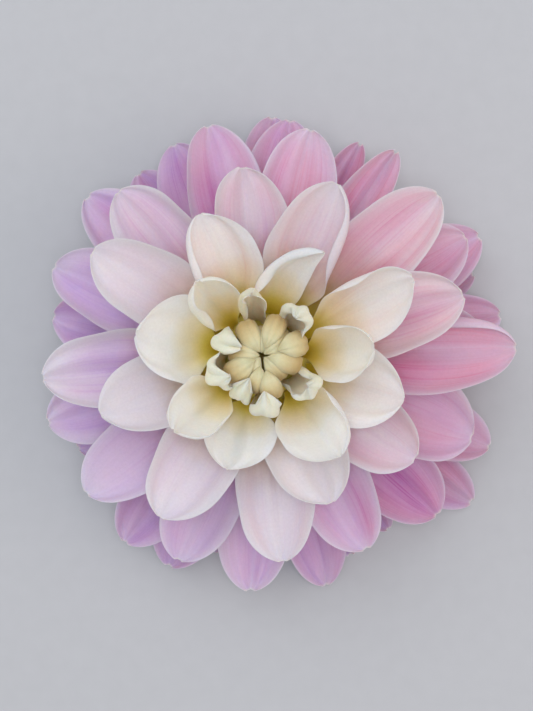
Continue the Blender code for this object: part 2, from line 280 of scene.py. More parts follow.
def folded_blade(order, azimuth, reach, habit, u, v):
    """A blade with its crease, furrows, waving margin and notched tip."""
    age = max(order + FIRST_AGE, 0.0)
    chance = np.random.default_rng(FOLD_SEED + order)
    phase = chance.uniform(0.0, 1.0, 5)
    size = stage_at(age)[4] / FULL_HALF_WIDTH
    length = stage_at(age)[0]
    across = u * outline(v, habit)
    pinch = ease(0.86, 1.0, v)
    notch = np.exp(-(across / NOTCH_WIDTH) ** 2) * NOTCH_DEPTH / length
    v = v - pinch * notch * habit.get("notch", 1.0) * (0.5 + phase[0])
    base = blade(age, azimuth, reach, habit, u, v)
    step_u = blade(age, azimuth, reach, habit, u + PROBE, v) - base
    step_v = blade(age, azimuth, reach, habit, u, v - PROBE) - base
    normal = np.cross(step_u, step_v)
    normal /= np.maximum(np.linalg.norm(normal, axis=1, keepdims=True), 1e-9)
    body = ease(0.12, 0.4, v) * (1.0 - 0.7 * ease(0.9, 1.0, v))
    folds = habit.get("folds", 1.0)
    crease = -CREASE_DEPTH * folds * np.exp(-((u - 0.06 * phase[1]) / CREASE_WIDTH) ** 2)
    furrows = np.zeros_like(u)
    for centre, share in ((-FURROW_AT - 0.16 * phase[2], 1.0),
                          (FURROW_AT + 0.16 * phase[3], 0.8)):
        furrows -= FURROW_DEPTH * folds * share * np.exp(-((u - centre) / FURROW_WIDTH) ** 2)
    swell = SWELL_HEIGHT * folds * np.cos(2.0 * math.pi * (SWELLS * u + phase[4]))
    swell = swell * (1.0 - ease(0.6, 1.0, np.abs(u)))
    margin = ease(0.45, 1.0, np.abs(u)) * np.where(u > 0, 1.0, -1.0)
    wave = WAVE_HEIGHT * habit.get("wave", 1.0) * margin * np.sin(
        2.0 * math.pi * (WAVES * v + phase[2])) * ease(0.5, 0.85, v)
    keel = KEEL_DEPTH * habit.get("keel", ease(2.0, 14.0, order)) * (
        np.sqrt(u * u + 0.006) - 0.5)
    keel = keel * ease(0.45, 0.9, v) * np.sqrt(outline(v, habit))
    offset = size * (body * (crease + furrows + swell) + wave + keel)
    for tilt_u, tilt_v, start in habit.get("crumple", ()):
        sawtooth = np.abs((tilt_u * u + tilt_v * v + start) % 1.0 - 0.5) * 4.0 - 1.0
        offset += CRUMPLE_DEPTH * sawtooth * ease(0.35, 0.6, v)
    return base + normal * offset[:, None]


# %% [markdown]
# ## From a flat grid to a petal
#
# Each petal starts as a grid primitive, as a sculptor would cut a strip of clay. Its points
# are moved onto the blade, Solidify gives it a wall and Subdivision Surface rounds the rim.
# The grid's UV map stays on it, so the material later knows what lies across and what lies
# along the petal. Rows are set closer together towards the tip, where the outline turns.

# %% Strips, moves and walls
ACROSS = 16                  # faces across a petal
ALONG = 30                   # faces along it
TIP_CROWDING = 1.45          # 1 would space the rows evenly
RIM_WALL = 0.3               # thickness of the rim as a share of the middle's
TABLE_GAP = 0.1              # mm, the least gap under a petal


def deselect_all():
    """Operators act on all that is selected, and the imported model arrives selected."""
    bpy.ops.object.select_all(action="DESELECT")


def apply_modifier(piece, kind, **settings):
    """Add a modifier, set it and apply it at once."""
    modifier = piece.modifiers.new(kind.title(), kind)
    for name, value in settings.items():
        setattr(modifier, name, value)
    bpy.context.view_layer.objects.active = piece
    bpy.ops.object.modifier_apply(modifier=modifier.name)


def add_strip(name, across, along):
    """A flat grid with a UV map, and its points' places across (-1..1) and along (0..1)."""
    deselect_all()
    bpy.ops.mesh.primitive_grid_add(x_subdivisions=across, y_subdivisions=along, size=1.0)
    strip = bpy.context.object
    strip.name = name
    strip.data.name = name
    flat = np.zeros(len(strip.data.vertices) * 3)
    strip.data.vertices.foreach_get("co", flat)
    flat = flat.reshape(-1, 3)
    return strip, -2.0 * flat[:, 0], flat[:, 1] + 0.5


def move_points(piece, points, lowest=(BLADE_THICKNESS + TABLE_GAP) * MM):
    """Put a piece's points at places in mm round the bloom's axis, none under the lowest."""
    placed = points * MM + np.array([AXIS_X, AXIS_Y, FOOT_Z])
    placed[:, 2] = np.maximum(placed[:, 2], lowest)
    piece.data.vertices.foreach_set("co", placed.ravel())
    piece.data.update()


def tag(piece, name, value):
    """Give all of a piece's points one number, for its material to read."""
    values = np.full(len(piece.data.vertices), value)
    piece.data.attributes.new(name, "FLOAT", "POINT").data.foreach_set("value", values)


def finish_sheet(piece, thickness, margin):
    """Give a sheet its wall, thinner where margin nears 1, round its rim and shade it smooth."""
    wall = piece.vertex_groups.new(name="wall")
    shares = 1.0 - (1.0 - RIM_WALL) * ease(0.6, 1.0, margin)
    for index, share in enumerate(shares):
        wall.add([index], float(share), "REPLACE")
    apply_modifier(piece, "SOLIDIFY", thickness=thickness * MM, offset=-1.0,
                   vertex_group="wall", thickness_vertex_group=0.0)
    back = np.zeros(len(piece.data.vertices))
    back[len(margin):] = 1.0                     # Solidify keeps the front's points first
    piece.data.attributes.new("back", "FLOAT", "POINT").data.foreach_set("value", back)
    apply_modifier(piece, "SUBSURF", levels=1, render_levels=1)
    piece.data.shade_smooth()


# %% Make a petal with its own tones
# How strongly a petal is flushed with colour, by its number outwards from the first open one
FLUSHED_AT = (-8, 0, 6, 10, 16, 21, 24, 34, 50)
FLUSHES = (0.0, 0.05, 0.15, 0.28, 0.5, 0.54, 0.57, 0.62, 0.7)
# The flush is stronger on one side of the bloom, most of all in the rings near one number
FLUSH_AZIMUTH, FLUSH_SWING = 45.0, 0.22
SWING_NUMBER, SWING_SPREAD = 18, 14
# the rose and lavender sides are partly the petals' own hue and partly painted light: warm light
# on the rose side, cool light on the lavender side
WARM_AZIMUTH = 20.0          # where the flush is rose; it is lavender on the far side
COOL_SCATTER = 0.08          # how far one petal's tone strays from its neighbours'
TONE_SEED = 500


def add_petal(name, order, turn, reach, habit):
    """One petal, numbered outwards from the first open one."""
    petal, u, along = add_strip(name, ACROSS, ALONG)
    v = 1.0 - (1.0 - along) ** TIP_CROWDING
    azimuth = FIRST_AZIMUTH - order * GOLDEN_ANGLE + turn
    move_points(petal, folded_blade(order, azimuth, reach, habit, u, v))
    blush = np.interp(order, FLUSHED_AT, FLUSHES)
    toward = math.cos(math.radians(azimuth - FLUSH_AZIMUTH))
    blush += FLUSH_SWING * toward * math.exp(-((order - SWING_NUMBER) / SWING_SPREAD) ** 2)
    # the swing from rose to lavender round the bloom is partly the petals' own hue and partly
    # painted warm and cool light
    hue_and_tinted_light = 0.5 - 0.5 * math.cos(math.radians(azimuth - WARM_AZIMUTH))
    chance = np.random.default_rng(order + TONE_SEED)
    tag(petal, "blush", min(max(blush + habit.get("blush", 0.0), 0.0), 1.0))
    tag(petal, "hue_and_tinted_light", min(max(hue_and_tinted_light + chance.uniform(-COOL_SCATTER, COOL_SCATTER), 0.0), 1.0))
    tag(petal, "age", max(order + FIRST_AGE + habit.get("older", 0.0), 0.0) / FLORETS_ON_DOME)
    tag(petal, "chance", chance.uniform(0.0, 1.0))
    finish_sheet(petal, BLADE_THICKNESS, np.maximum(np.abs(u), along))
    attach(petal, "root")
    return petal

# %% [markdown]
# ## The rings of florets
#
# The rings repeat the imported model's florets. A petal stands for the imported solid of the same
# place, which stays for the collision model. Habits are written down only where a floret
# differs from its stage, and the petals of the wide rings also twist and roll a little by
# chance, as no two real ones are alike.

# %% The rings, from the centre outwards
# A ring's name, its first floret's number, its slot, and its florets in their order. Each
# floret has how far it stands off the golden angle in degrees, how far it reaches from the
# axis in mm (None for a hood, whose tip says so) and its habits (None leaves its place empty).
# Some habits multiply what the stage gives: width, cup, left and right (the cup of one half),
# folds, wave and keel. Others are degrees: twist, sweep, lean, roll_left and roll_right, of
# whose roll the share roll_ends is gone at the tip.
RINGS = (
    ("curled", -5, "petal_cream", (
        (-3, None, dict(belly=(10.5, 37.0), crown=(17.8, 43.0), tip=(13.8, 48.4), width=0.7,
                        cup=1.3, point=0.45, notch=0, folds=0.4, claw=0.35, flare=1.0,
                        roll_left=60, crumple=((0.9, 1.6, 0.1), (1.3, 0.5, 0.5)))),
        (0, None, dict(belly=(9.2, 38.0), crown=(20.0, 44.3), tip=(12.4, 48.4), width=0.84,
                       cup=1.3, roll_left=120, roll_ends=0.1, point=0.2, notch=0, folds=0.3,
                       claw=0.35, flare=1.0, crumple=((1.6, 0.8, 0.2), (-0.7, 2.3, 0.1)))),
        (3, None, dict(belly=(9.6, 38.0), crown=(18.4, 45.0), tip=(8.6, 47.0), width=0.78,
                       cup=1.1, left=0.8, twist=10, sweep=22, point=0.6, notch=0, folds=0.3,
                       claw=0.4, flare=1.0, crumple=((1.5, 1.0, 0.6), (-1.2, 1.9, 0.2)))),
        (-3, None, dict(belly=(9.2, 38.0), crown=(19.6, 44.8), tip=(11.2, 48.2), width=0.8,
                        cup=1.2, roll_left=130, roll_ends=0.1, point=0.3, notch=0, folds=0.3,
                        claw=0.35, flare=1.0, crumple=((1.7, 0.6, 0.0), (-0.6, 2.4, 0.3)))),
        (0.5, None, dict(belly=(14.5, 35.0), crown=(17.0, 47.0), tip=(8.2, 45.2), width=0.52,
                         cup=0.9, point=0.7, notch=0, folds=0.3, claw=0.45, flare=1.0,
                         crumple=((0.9, 1.3, 0.4), (-0.8, 1.4, 0.1)))),
    )),
    ("cup", 0, "petal_cream", (
        (-4, 22.0, dict(width=0.86, cup=1.08, right=1.2, roll_left=125, roll_ends=0.3)),
        (5.5, 25.0, dict(width=0.9, cup=1.05, roll_left=55, roll_ends=0.4)),
        (0, 25.7, dict(width=0.86, cup=1.0, roll_left=55, roll_ends=0.6, lean=-3)),
        (0, 26.9, dict(width=0.64, left=1.3, right=0.45, sweep=-25, roll_left=175,
                       roll_ends=0.2, twist=-10, widest=0.4, point=0.75, claw=0.3, flare=1.1)),
        (2, 28.5, dict(roll_left=60, roll_ends=0.5)),
        (1.5, 28.8, dict(width=1.08, cup=0.9, right=0.6)),
        (-4, 37.5, dict(width=0.88, flare=2.1, right=0.55, roll_left=85, roll_ends=0.8,
                        blush=0.15)),
        (-0.5, 27.2, dict(width=0.9, right=0.45, roll_left=-45, roll_ends=0.6)),
        (-2, 35.0, dict(left=0.62, roll_left=150, roll_ends=0.35, blush=0.25)),
        (4, 34.0, dict(width=1.02, left=0.7, right=0.65, lean=0.5, blush=0.1)),
    )),
    ("middle", 10, "petal_white", (
        (-1, 39.2, dict(right=0.6)),
        (3, 42.8, dict(width=1.06, blush=-0.15, roll_right=140, roll_ends=0.4)),
        (9, 37.6, dict(width=1.04, left=0.8, blush=-0.2)),
        (0, 45.8, dict(blush=-0.1)),
        (6, 48.4, dict()),
        (4.5, 44.5, dict(width=1.06)),
        (0, 44.2, dict(blush=-0.12)),
        (8, 43.5, dict(width=1.04, right=0.85)),
        (5, 51.7, dict(blush=0.2)),
        (-1, 56.0, dict()),
        (10, 49.0, dict(blush=-0.12)),
        (3, 51.7, dict()),
    )),
    ("outer", 22, "petal_pink", (
        (11, 60.3, dict(left=1.3, roll_left=160, roll_ends=0.35, width=1.14)),
        (5, 53.3, dict()),
        (2, 55.3, dict(blush=-0.15)),
        (0, 52.9, dict(blush=0.1)),
        (-4, 54.5, dict()),
        (7, 56.9, dict()),
        (2, 53.7, dict()),
        (-5, 57.5, dict()),
        (8, 55.0, dict(width=1.25)),
        (4, 54.9, dict()),
        (1, 60.1, dict(width=0.68, right=1.7, left=1.0, keel=2.2, roll_left=0, roll_right=0)),
        (-11, 58.0, dict()),
        (-3, 58.4, dict()),
        (2, 55.0, dict()),
    )),
    ("back", 36, "petal_mauve", (
        (8, 57.5, dict()),
        (-5, 59.0, dict()),
        (7, 59.2, dict(width=1.15, blush=0.15)),
        (-4, 53.1, dict()),
        (-7, 62.4, dict()),
        (-12, 58.4, dict(right=0.5, lean=4)),
        (-8, 57.5, dict()),
        (-5, 61.9, dict()),
        (1, 51.7, dict()),
        (-3, 59.3, dict(width=0.68, right=1.7, left=1.0, keel=2.2, roll_left=0)),
        (-5, 60.6, dict()),
        (-29, 56.1, dict(right=0.5, lean=4)),
        (-6, 61.7, dict()),
        (-17, 58.0, None),
        (-13, 60.9, dict()),
        (2, 65.5, dict()),
    )),
)

# The last and lowest florets, of which only a sliver shows between the others: number, how
# far off the golden angle, and reach
LAST_FLORETS = (
    (55, -9, 53.0), (57, -10, 50.0), (59, 3, 55.0), (61, -7, 58.0), (62, 7, 52.0),
    (64, 4, 58.5), (67, 11, 56.0), (69, 2, 58.0),
)

# %% Grow the open florets
WIDE_FROM = 10               # from this number on, a floret has a broad and shallow claw
WIDE_CLAW = dict(claw=0.28, claw_cup=32)
LEAN_SEED = 200
petals = {}
for ring, first, slot_name, florets in RINGS:
    count = 0
    for step, (turn, reach, habit) in enumerate(florets):
        if habit is None:
            continue
        count += 1
        if first >= WIDE_FROM:
            chance = np.random.default_rng(first + step + LEAN_SEED)
            lean = chance.uniform(-1, 1)
            by_chance = dict(WIDE_CLAW, twist=6 * lean, left=1.0 + 0.22 * lean,
                             right=1.0 - 0.22 * lean, roll_left=chance.uniform(0, 34),
                             roll_right=chance.uniform(0, 34))
            habit = dict(by_chance, **habit)
        petal = add_petal(f"{ring}_petal_{count}", first + step, turn, reach, habit)
        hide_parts(f"{ring}_floret_{count}")
        petals.setdefault(slot_name, []).append(petal)
for number, (order, turn, reach) in enumerate(LAST_FLORETS, start=1):
    habit = dict(WIDE_CLAW, width=0.75, lean=4, blush=0.1)
    petal = add_petal(f"last_petal_{number}", order, turn, reach, habit)
    petals["petal_mauve"].append(petal)
print("open florets:", sum(len(group) for group in petals.values()))

# %% [markdown]
# ## The closed centre
#
# In the middle the florets are still buds. Each is a small hood, its back to the outside and
# its tip pressed against the others, so all one sees from above is a ring of pale backs
# meeting at a dark point. The same growth rule makes them, from the young end of the table.

# %% Grow the closed centre
BUD_TOP = 45.0               # mm, on the growth's scale
BUD_HALF_WIDTH = 2.9


def bud_habit(order, **changes):
    """The hood of a closed floret: its tip near the axis, a little lower the younger it is."""
    age = order + FIRST_AGE
    seat_radius, seat_height = claw_seat(age)
    tip_height = BUD_TOP - 1.7 + 0.1 * age
    habit = dict(belly=(seat_radius + 4.6, seat_height + 0.6 * (tip_height - seat_height)),
                 crown=(seat_radius * 0.9 + 4.0, tip_height + 1.4 + 0.08 * age),
                 tip=(0.6 + 0.36 * max(age - 6, 0), tip_height - 0.4), point=0.8, notch=0.0,
                 width=BUD_HALF_WIDTH / stage_at(age)[4], cup=0.3, widest=0.76, wave=0.2,
                 folds=0.4, keel=0.75, claw=0.6, flare=1.0)
    habit.update(changes)
    return habit


BUDS = (
    (-6, 0, dict(belly=(12.6, 36.0), crown=(13.2, 46.4), tip=(6.0, 44.8), width=0.46, cup=0.7,
                 older=3, crumple=((0.8, 1.4, 0.2), (-0.9, 1.2, 0.4)))),
    (-7, 0, dict(tip=(3.8, 44.6), width=0.5, older=-2)),
    (-8, 3, dict(belly=(12.0, 36.5), crown=(13.8, 47.5), tip=(5.2, 45.2), width=0.6, cup=0.7,
                 older=4, crumple=((0.7, 1.4, 0.5), (-0.8, 1.3, 0.0)))),
    (-9, -8, dict(tip=(3.6, 44.4))),
    (-10, -5, dict(tip=(1.9, 44.2), width=0.5)),
    (-11, 3, dict(tip=(1.9, 44.0), width=0.58)),
    (-12, 0, dict()),
    (-13, -3, dict()),
    (-14, 0, dict(tip=(2.6, 43.6))),
    (-15, 0, dict()),
    (-16, 0, dict()),
    (-17, 4, dict()),
    (-18, 0, dict()),
    (-19, 0, dict()),
)
for number, (order, turn, changes) in enumerate(BUDS, start=1):
    bud = add_petal(f"centre_petal_{number}", order, turn, None, bud_habit(order, **changes))
    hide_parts("closed_centre")
    petals["petal_cream"].append(bud)
print("buds:", len(BUDS))

# %% [markdown]
# ## Materials
#
# A colour picked from a chart is in sRGB, and a shader wants linear light, so one function
# turns one into the other. Another adds a node with its settings and its links.

# %% Helpers for colours and nodes


def linear(code):
    """An sRGB hex colour as linear RGBA."""
    parts = [int(code[k:k + 2], 16) / 255 for k in (1, 3, 5)]
    return tuple(c / 12.92 if c <= 0.04045 else ((c + 0.055) / 1.055) ** 2.4
                 for c in parts) + (1.0,)


def add_node(tree, kind, inputs=None, stops=(), **settings):
    """Add a node, set its properties and stops, and fill its inputs with values or sockets."""
    node = tree.nodes.new("ShaderNode" + kind)
    for name, value in settings.items():
        setattr(node, name, value)
    for name, value in (inputs or {}).items():
        if isinstance(value, bpy.types.NodeSocket):
            tree.links.new(value, node.inputs[name])
        else:
            node.inputs[name].default_value = value
    for _ in stops[2:]:                          # a colour ramp starts with two
        node.color_ramp.elements.new(0.9)
    for k, (place, tone) in enumerate(stops):
        node.color_ramp.elements[k].position = place
        node.color_ramp.elements[k].color = linear(tone)
    return node


FACTOR, COLOUR_A, COLOUR_B, MIXED = 0, 6, 7, 2      # a colour Mix node's sockets


def new_material(name):
    """A material with nothing in it."""
    material = bpy.data.materials.new(name)
    material.use_nodes = True
    material.node_tree.nodes.clear()
    return material, material.node_tree


# %% [markdown]
# ### The petal skin
#
# Dahlia petal is a living skin a few tenths of a millimetre thick over clear, spongy cells.
# Light goes in, scatters and comes out a millimetre or two away, so it glows softly where it
# is lit from behind and never looks painted. It is matte, with a faint satin along the veins.
# The colour is a flush over a pale ground: deepest down the middle and towards the claw,
# fading to a nearly white rim, partly painted highlight, with fine streaks along the veins.

# %% What all the petal skins share
YOUNG, OPEN = 0.15, 0.22     # ages between which the bud's colour goes
VEINS_ACROSS = 26.0          # streaks in the width of a petal, under a millimetre apart
CELL = 0.6                   # mm, the grain of the skin, as coarse as it needs to show
SCATTER = 1.2                # mm that red light travels in the skin
GLOW = 0.72                  # share of the light that goes in and comes out elsewhere
THROAT_PLACES = (0.05, 0.13, 0.24, 0.45)             # along the petal, from the claw
# the bud's cream, turned tan towards the claw as painted shade where the hoods tuck under one
# another, and a little darker at the tip
BUD_CREAM_AND_SHADE_STOPS = ((0.5, "#CDB27A"), (0.78, "#EBDDB2"), (1.0, "#DCC690"))
FRONT_TONE, BACK_TONE = "#FDF4DE", "#F9F2CC"         # of a floret that has just opened
TIP_TONE = "#F1EADA"
print("vein streaks on a full petal are", round(2 * FULL_HALF_WIDTH / VEINS_ACROSS, 2), "mm apart")

# %% Noise drawn out along the veins
def vein_noises(tree, across, along):
    """Veins, fine lines between them, broad drifts, and a slow change of tint."""
    chance = add_node(tree, "Attribute", attribute_name="chance").outputs["Fac"]
    vein_place = add_node(tree, "Math", {0: across, 1: VEINS_ACROSS}, operation="MULTIPLY")
    other = add_node(tree, "Math", {0: chance, 1: 40.0}, operation="MULTIPLY")
    slow = add_node(tree, "Math", {0: along, 1: 1.6}, operation="MULTIPLY")
    stretched = add_node(tree, "CombineXYZ", {"X": vein_place.outputs[0], "Y": slow.outputs[0],
                                              "Z": other.outputs[0]}).outputs[0]
    veins = add_node(tree, "TexNoise", {"Vector": stretched, "Scale": 1.0, "Detail": 2.0,
                                        "Roughness": 0.7}).outputs[0]
    fine_place = add_node(tree, "VectorMath", {0: stretched, 1: (2.3, 0.7, 1.3)},
                          operation="MULTIPLY").outputs[0]
    lines = add_node(tree, "TexNoise", {"Vector": fine_place, "Scale": 1.0,
                                        "Detail": 1.0}).outputs[0]
    lines = add_node(tree, "MapRange", {"Value": lines, "From Min": 0.56, "From Max": 0.68,
                                        "To Min": 0.0, "To Max": 0.3}).outputs[0]
    broad = add_node(tree, "VectorMath", {0: stretched, 1: (0.1, 1.0, 1.0)},
                     operation="MULTIPLY").outputs[0]
    drift = add_node(tree, "TexNoise", {"Vector": broad, "Scale": 1.0, "Detail": 1.0}).outputs[0]
    elsewhere = add_node(tree, "VectorMath", {0: broad, 1: (3.1, 7.7, 5.3)},
                         operation="ADD").outputs[0]
    tint = add_node(tree, "TexNoise", {"Vector": elsewhere, "Scale": 0.8,
                                       "Detail": 0.0}).outputs[0]
    return veins, lines, drift, tint


# %% Flush a pale ground with colour
def flushed(tree, along, margin, noises, pale, rose, lavender):
    """The ground under its flush, which fades to the tip, to the margin and in the claw."""
    veins, lines, drift, tint = noises
    # the fade to the margin is partly the pale margin's own tone and partly painted highlight
    factors = [add_node(tree, "MapRange", {
        "Value": place, "From Min": start, "From Max": end, "To Min": at_start,
        "To Max": at_end}, interpolation_type="SMOOTHSTEP").outputs[0]
        for place, start, end, at_start, at_end in (
            (along, 0.1, 1.0, 1.0, 0.65), (margin, 0.4, 1.0, 0.97, 0.44),
            (along, 0.08, 0.36, 0.0, 1.0))]
    streaks = add_node(tree, "MapRange", {"Value": veins, "From Min": 0.3, "From Max": 0.7,
                                          "To Min": 0.82, "To Max": 1.12}).outputs[0]
    factors.append(add_node(tree, "Math", {0: streaks, 1: lines}, operation="ADD").outputs[0])
    factors.append(add_node(tree, "MapRange", {
        "Value": drift, "From Min": 0.3, "From Max": 0.7, "To Min": 0.6,
        "To Max": 1.35}).outputs[0])
    amount = add_node(tree, "Attribute", attribute_name="blush").outputs["Fac"]
    for factor in factors:
        amount = add_node(tree, "Math", {0: amount, 1: factor}, operation="MULTIPLY").outputs[0]
    # the side's hue, partly painted warm and cool light, mixes the rose flush with the lavender
    # one
    hue_and_tinted_light = add_node(tree, "Attribute", attribute_name="hue_and_tinted_light").outputs["Fac"]
    hue_shift = add_node(tree, "MapRange", {"Value": tint, "From Min": 0.35, "From Max": 0.65,
                                            "To Min": -0.2, "To Max": 0.2}).outputs[0]
    hue = add_node(tree, "Math", {0: hue_and_tinted_light, 1: hue_shift}, operation="ADD",
                   use_clamp=True).outputs[0]
    flush = add_node(tree, "Mix", {FACTOR: hue, COLOUR_A: linear(rose),
                                   COLOUR_B: linear(lavender)}, data_type="RGBA").outputs[MIXED]
    return add_node(tree, "Mix", {FACTOR: amount, COLOUR_A: linear(pale), COLOUR_B: flush},
                    data_type="RGBA").outputs[MIXED]


# %% Give a young floret the colour of the bud, with its painted shade
def coloured_by_age(tree, along, back, age, skin):
    """The skin as it is at this age, and how much of it is still a bud's."""
    opening = add_node(tree, "Mix", {FACTOR: back, COLOUR_A: linear(FRONT_TONE),
                                     COLOUR_B: linear(BACK_TONE)},
                       data_type="RGBA").outputs[MIXED]
    fresh = add_node(tree, "MapRange", {"Value": age, "From Min": 0.25, "From Max": 0.31,
                                        "To Min": 0.8, "To Max": 0.0}).outputs[0]
    skin = add_node(tree, "Mix", {FACTOR: fresh, COLOUR_A: skin, COLOUR_B: opening},
                    data_type="RGBA").outputs[MIXED]
    youth = add_node(tree, "MapRange", {"Value": age, "From Min": YOUNG, "From Max": OPEN,
                                        "To Min": 1.0, "To Max": 0.0},
                     interpolation_type="SMOOTHSTEP").outputs[0]
    # the bud's cream, with painted shade towards the claw
    bud = add_node(tree, "ValToRGB", {"Fac": along}, stops=BUD_CREAM_AND_SHADE_STOPS).outputs[0]
    skin = add_node(tree, "Mix", {FACTOR: youth, COLOUR_A: skin, COLOUR_B: bud},
                    data_type="RGBA").outputs[MIXED]
    return skin, youth


# %% Pale the rim, partly as painted highlight, and stain the throat
def with_rim_highlight_and_throat(tree, along, margin, back, age, youth, skin, rim, throat):
    """The skin with its pale rim, partly painted highlight, and tip, and the claw's green on its
    front.
    """
    still_bud = add_node(tree, "Math", {0: 1.0, 1: youth}, operation="SUBTRACT").outputs[0]
    # the rim tone is partly the margin's pale pigment and partly painted highlight where the
    # margins catch the light
    for place, start, most, tone in ((margin, 0.84, 0.35, rim), (along, 0.94, 0.6, TIP_TONE)):
        share = add_node(tree, "MapRange", {"Value": place, "From Min": start, "From Max": 1.0,
                                            "To Max": most},
                         interpolation_type="SMOOTHSTEP").outputs[0]
        share = add_node(tree, "Math", {0: share, 1: still_bud}, operation="MULTIPLY").outputs[0]
        skin = add_node(tree, "Mix", {FACTOR: share, COLOUR_A: skin, COLOUR_B: linear(tone)},
                        data_type="RGBA").outputs[MIXED]
    stain = add_node(tree, "ValToRGB", {"Fac": along},
                     stops=tuple(zip(THROAT_PLACES, throat))).outputs[0]
    opened = add_node(tree, "MapRange", {"Value": age, "From Min": 0.255, "From Max": 0.27,
                                         "To Min": 0.25, "To Max": 1.0}).outputs[0]
    shown = add_node(tree, "MapRange", {"Value": back, "To Min": opened,
                                        "To Max": 0.12}).outputs[0]
    return add_node(tree, "Mix", {FACTOR: shown, COLOUR_A: skin, COLOUR_B: stain},
                    data_type="RGBA", blend_type="MULTIPLY").outputs[MIXED]


# %% Put the skin together
def petal_skin(name, pale, rose, lavender, throat, rim):
    """A petal's skin from its ground, two flush colours, four throat colours and its rim."""
    material, tree = new_material(name)
    uv = add_node(tree, "TexCoord").outputs["UV"]
    place = add_node(tree, "SeparateXYZ", {"Vector": uv})
    across, along = place.outputs["X"], place.outputs["Y"]
    centred = add_node(tree, "Math", {0: across, 1: 2.0, 2: -1.0}, operation="MULTIPLY_ADD")
    margin = add_node(tree, "Math", {0: centred.outputs[0]}, operation="ABSOLUTE").outputs[0]
    back = add_node(tree, "Attribute", attribute_name="back").outputs["Fac"]
    age = add_node(tree, "Attribute", attribute_name="age").outputs["Fac"]
    noises = vein_noises(tree, across, along)
    skin = flushed(tree, along, margin, noises, pale, rose, lavender)
    skin, youth = coloured_by_age(tree, along, back, age, skin)
    skin = with_rim_highlight_and_throat(tree, along, margin, back, age, youth, skin, rim, throat)

    # the relief: vein lines over a fine grain of cells, which also mottles the tone
    solid = add_node(tree, "TexCoord").outputs["Object"]
    cells = add_node(tree, "TexNoise", {"Vector": solid, "Scale": 1.0 / (CELL * MM),
                                        "Detail": 2.0, "Roughness": 0.6}).outputs[0]
    mottle = add_node(tree, "MapRange", {"Value": cells, "From Min": 0.35, "From Max": 0.65,
                                         "To Min": 0.97, "To Max": 1.015}).outputs[0]
    skin = add_node(tree, "VectorMath", {0: skin, "Scale": mottle}, operation="SCALE").outputs[0]
    height = add_node(tree, "Math", {0: cells, 1: 0.35, 2: noises[0]},
                      operation="MULTIPLY_ADD").outputs[0]
    relief = add_node(tree, "Bump", {"Height": height, "Strength": 0.35,
                                     "Distance": 0.15 * MM}).outputs[0]
    surface = add_node(tree, "BsdfPrincipled", {
        "Base Color": skin, "Roughness": 0.52, "IOR": 1.4, "Specular IOR Level": 0.35,
        "Subsurface Weight": GLOW, "Subsurface Radius": (1.0, 0.74, 0.56),
        "Subsurface Scale": SCATTER * MM, "Sheen Weight": 0.08, "Normal": relief})
    add_node(tree, "OutputMaterial", {"Surface": surface.outputs[0]})
    return material


# %% Dress the petals
def dress(pieces, skin):
    """Give each piece this skin and no other."""
    for piece in pieces:
        piece.data.materials.clear()
        piece.data.materials.append(skin)


# each skin's last colour is its rim tone, partly pale pigment and partly painted highlight
SKINS = {
    "petal_cream": petal_skin("cream_petal", "#FAF8F1", "#EFC4C0", "#E2CCDD",
                              ("#CDB830", "#E2CF68", "#F8E9CA", "#FFFFFF"), "#FDFCF8"),
    "petal_white": petal_skin("white_petal", "#E8E2E2", "#DD92AC", "#C398D6",
                              ("#D8C440", "#EAD97E", "#FBEEDA", "#FFFFFF"), "#EFEBEA"),
    "petal_pink": petal_skin("pink_petal", "#E2D1E2", "#D9799A", "#B485D2",
                             ("#C8B47C", "#EBCDB4", "#FBECEC", "#FFFFFF"), "#EEE0EA"),
    "petal_mauve": petal_skin("mauve_petal", "#DFC5DD", "#CC678C", "#A277CA",
                              ("#C8AC78", "#EBC4B0", "#FBE8EA", "#FFFFFF"), "#E6D2E2"),
}
for slot_name, group in petals.items():
    dress(group, SKINS[slot_name])
print("petal materials:", [skin.name for skin in SKINS.values()])

# %% [markdown]
# ## Stem, receptacle and bracts
#
# Under the petals the dome sits on two whorls of bracts: eight thin pale ones that hold the
# florets up, and five fleshy green ones that fall back. The stem is cut a finger's breadth
# below. The dome and stem are one turned piece, made with a Screw modifier from its profile.

# %% Turn the stem and the receptacle
TURN_STEPS = 48
WELD = 0.00001               # metres, points nearer than this become one


def add_turned(name, profile):
    """A closed body turned about the bloom's axis from (radius, height) places in mm."""
    mesh = bpy.data.meshes.new(name)
    mesh.from_pydata([(radius * MM, 0.0, height * MM) for radius, height in profile],
                     [(k, k + 1) for k in range(len(profile) - 1)], [])
    body = bpy.data.objects.new(name, mesh)
    bpy.context.scene.collection.objects.link(body)
    deselect_all()
    body.select_set(True)
    apply_modifier(body, "SCREW", angle=2 * math.pi, steps=TURN_STEPS, render_steps=TURN_STEPS,
                   axis="Z", use_merge_vertices=True, merge_threshold=WELD,
                   use_normal_calculate=True)
    bpy.context.view_layer.objects.active = body
    bpy.ops.object.mode_set(mode="EDIT")
    bpy.ops.mesh.select_all(action="SELECT")
    bpy.ops.mesh.remove_doubles(threshold=WELD)
    bpy.ops.mesh.normals_make_consistent(inside=False)
    bpy.ops.object.mode_set(mode="OBJECT")
    points = np.zeros(len(mesh.vertices) * 3)
    mesh.vertices.foreach_get("co", points)
    return body, points.reshape(-1, 3) / MM


